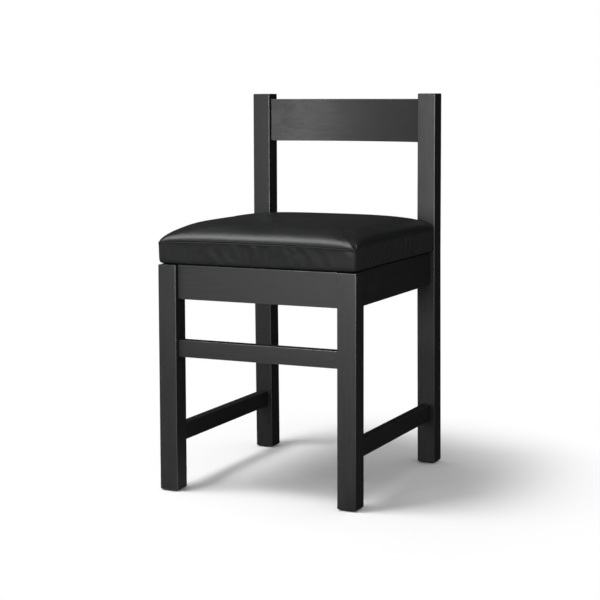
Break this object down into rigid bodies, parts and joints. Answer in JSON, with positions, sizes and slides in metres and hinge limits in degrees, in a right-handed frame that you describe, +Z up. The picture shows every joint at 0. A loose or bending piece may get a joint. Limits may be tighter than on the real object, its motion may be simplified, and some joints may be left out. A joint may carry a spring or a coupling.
{
  "type": "choir chair",
  "caption": "Low-backed wooden choir chair with square legs, set-back aprons, stretchers, one wide bowed back rail and a crowned black leather box cushion.",
  "frame": {"origin": "on the floor under the middle of the chair's plan, at the bottom of the glides", "axes": "+Z up, front of the seat towards -Y, +X to the right for someone who faces the front"},
  "size_m": [0.413, 0.4696, 0.762],
  "materials": {
    "lacquered_wood": "black satin lacquer on hardwood",
    "black_leather": "smooth black leather, soft sheen",
    "foam": "open-cell seat foam",
    "plywood": "bare birch plywood",
    "block_wood": "bare beech",
    "screw_steel": "zinc-plated",
    "glide_nylon": "black nylon",
    "cambric": "black non-woven cloth"
  },
  "bodies": {
    "root": {"front_leg_left": "lacquered_wood", "front_leg_right": "lacquered_wood", "rear_post_left": "lacquered_wood", "rear_post_right": "lacquered_wood", "front_apron": "lacquered_wood", "rear_apron": "lacquered_wood", "side_apron_left": "lacquered_wood", "side_apron_right": "lacquered_wood", "front_stretcher": "lacquered_wood", "side_stretcher_left": "lacquered_wood", "side_stretcher_right": "lacquered_wood", "back_rail": "lacquered_wood", "corner_block_front_left": "block_wood", "block_screw_front_left_1": "screw_steel", "block_screw_front_left_2": "screw_steel", "seat_screw_front_left": "screw_steel", "glide_front_left": "glide_nylon", "corner_block_front_right": "block_wood", "block_screw_front_right_1": "screw_steel", "block_screw_front_right_2": "screw_steel", "seat_screw_front_right": "screw_steel", "glide_front_right": "glide_nylon", "corner_block_rear_left": "block_wood", "block_screw_rear_left_1": "screw_steel", "block_screw_rear_left_2": "screw_steel", "seat_screw_rear_left": "screw_steel", "glide_rear_left": "glide_nylon", "corner_block_rear_right": "block_wood", "block_screw_rear_right_1": "screw_steel", "block_screw_rear_right_2": "screw_steel", "seat_screw_rear_right": "screw_steel", "glide_rear_right": "glide_nylon", "seat_board": "plywood", "seat_foam": "foam", "cover_top_panel": "black_leather", "cover_border": "black_leather", "dust_cover": "cambric"}
  },
  "joints": []
}
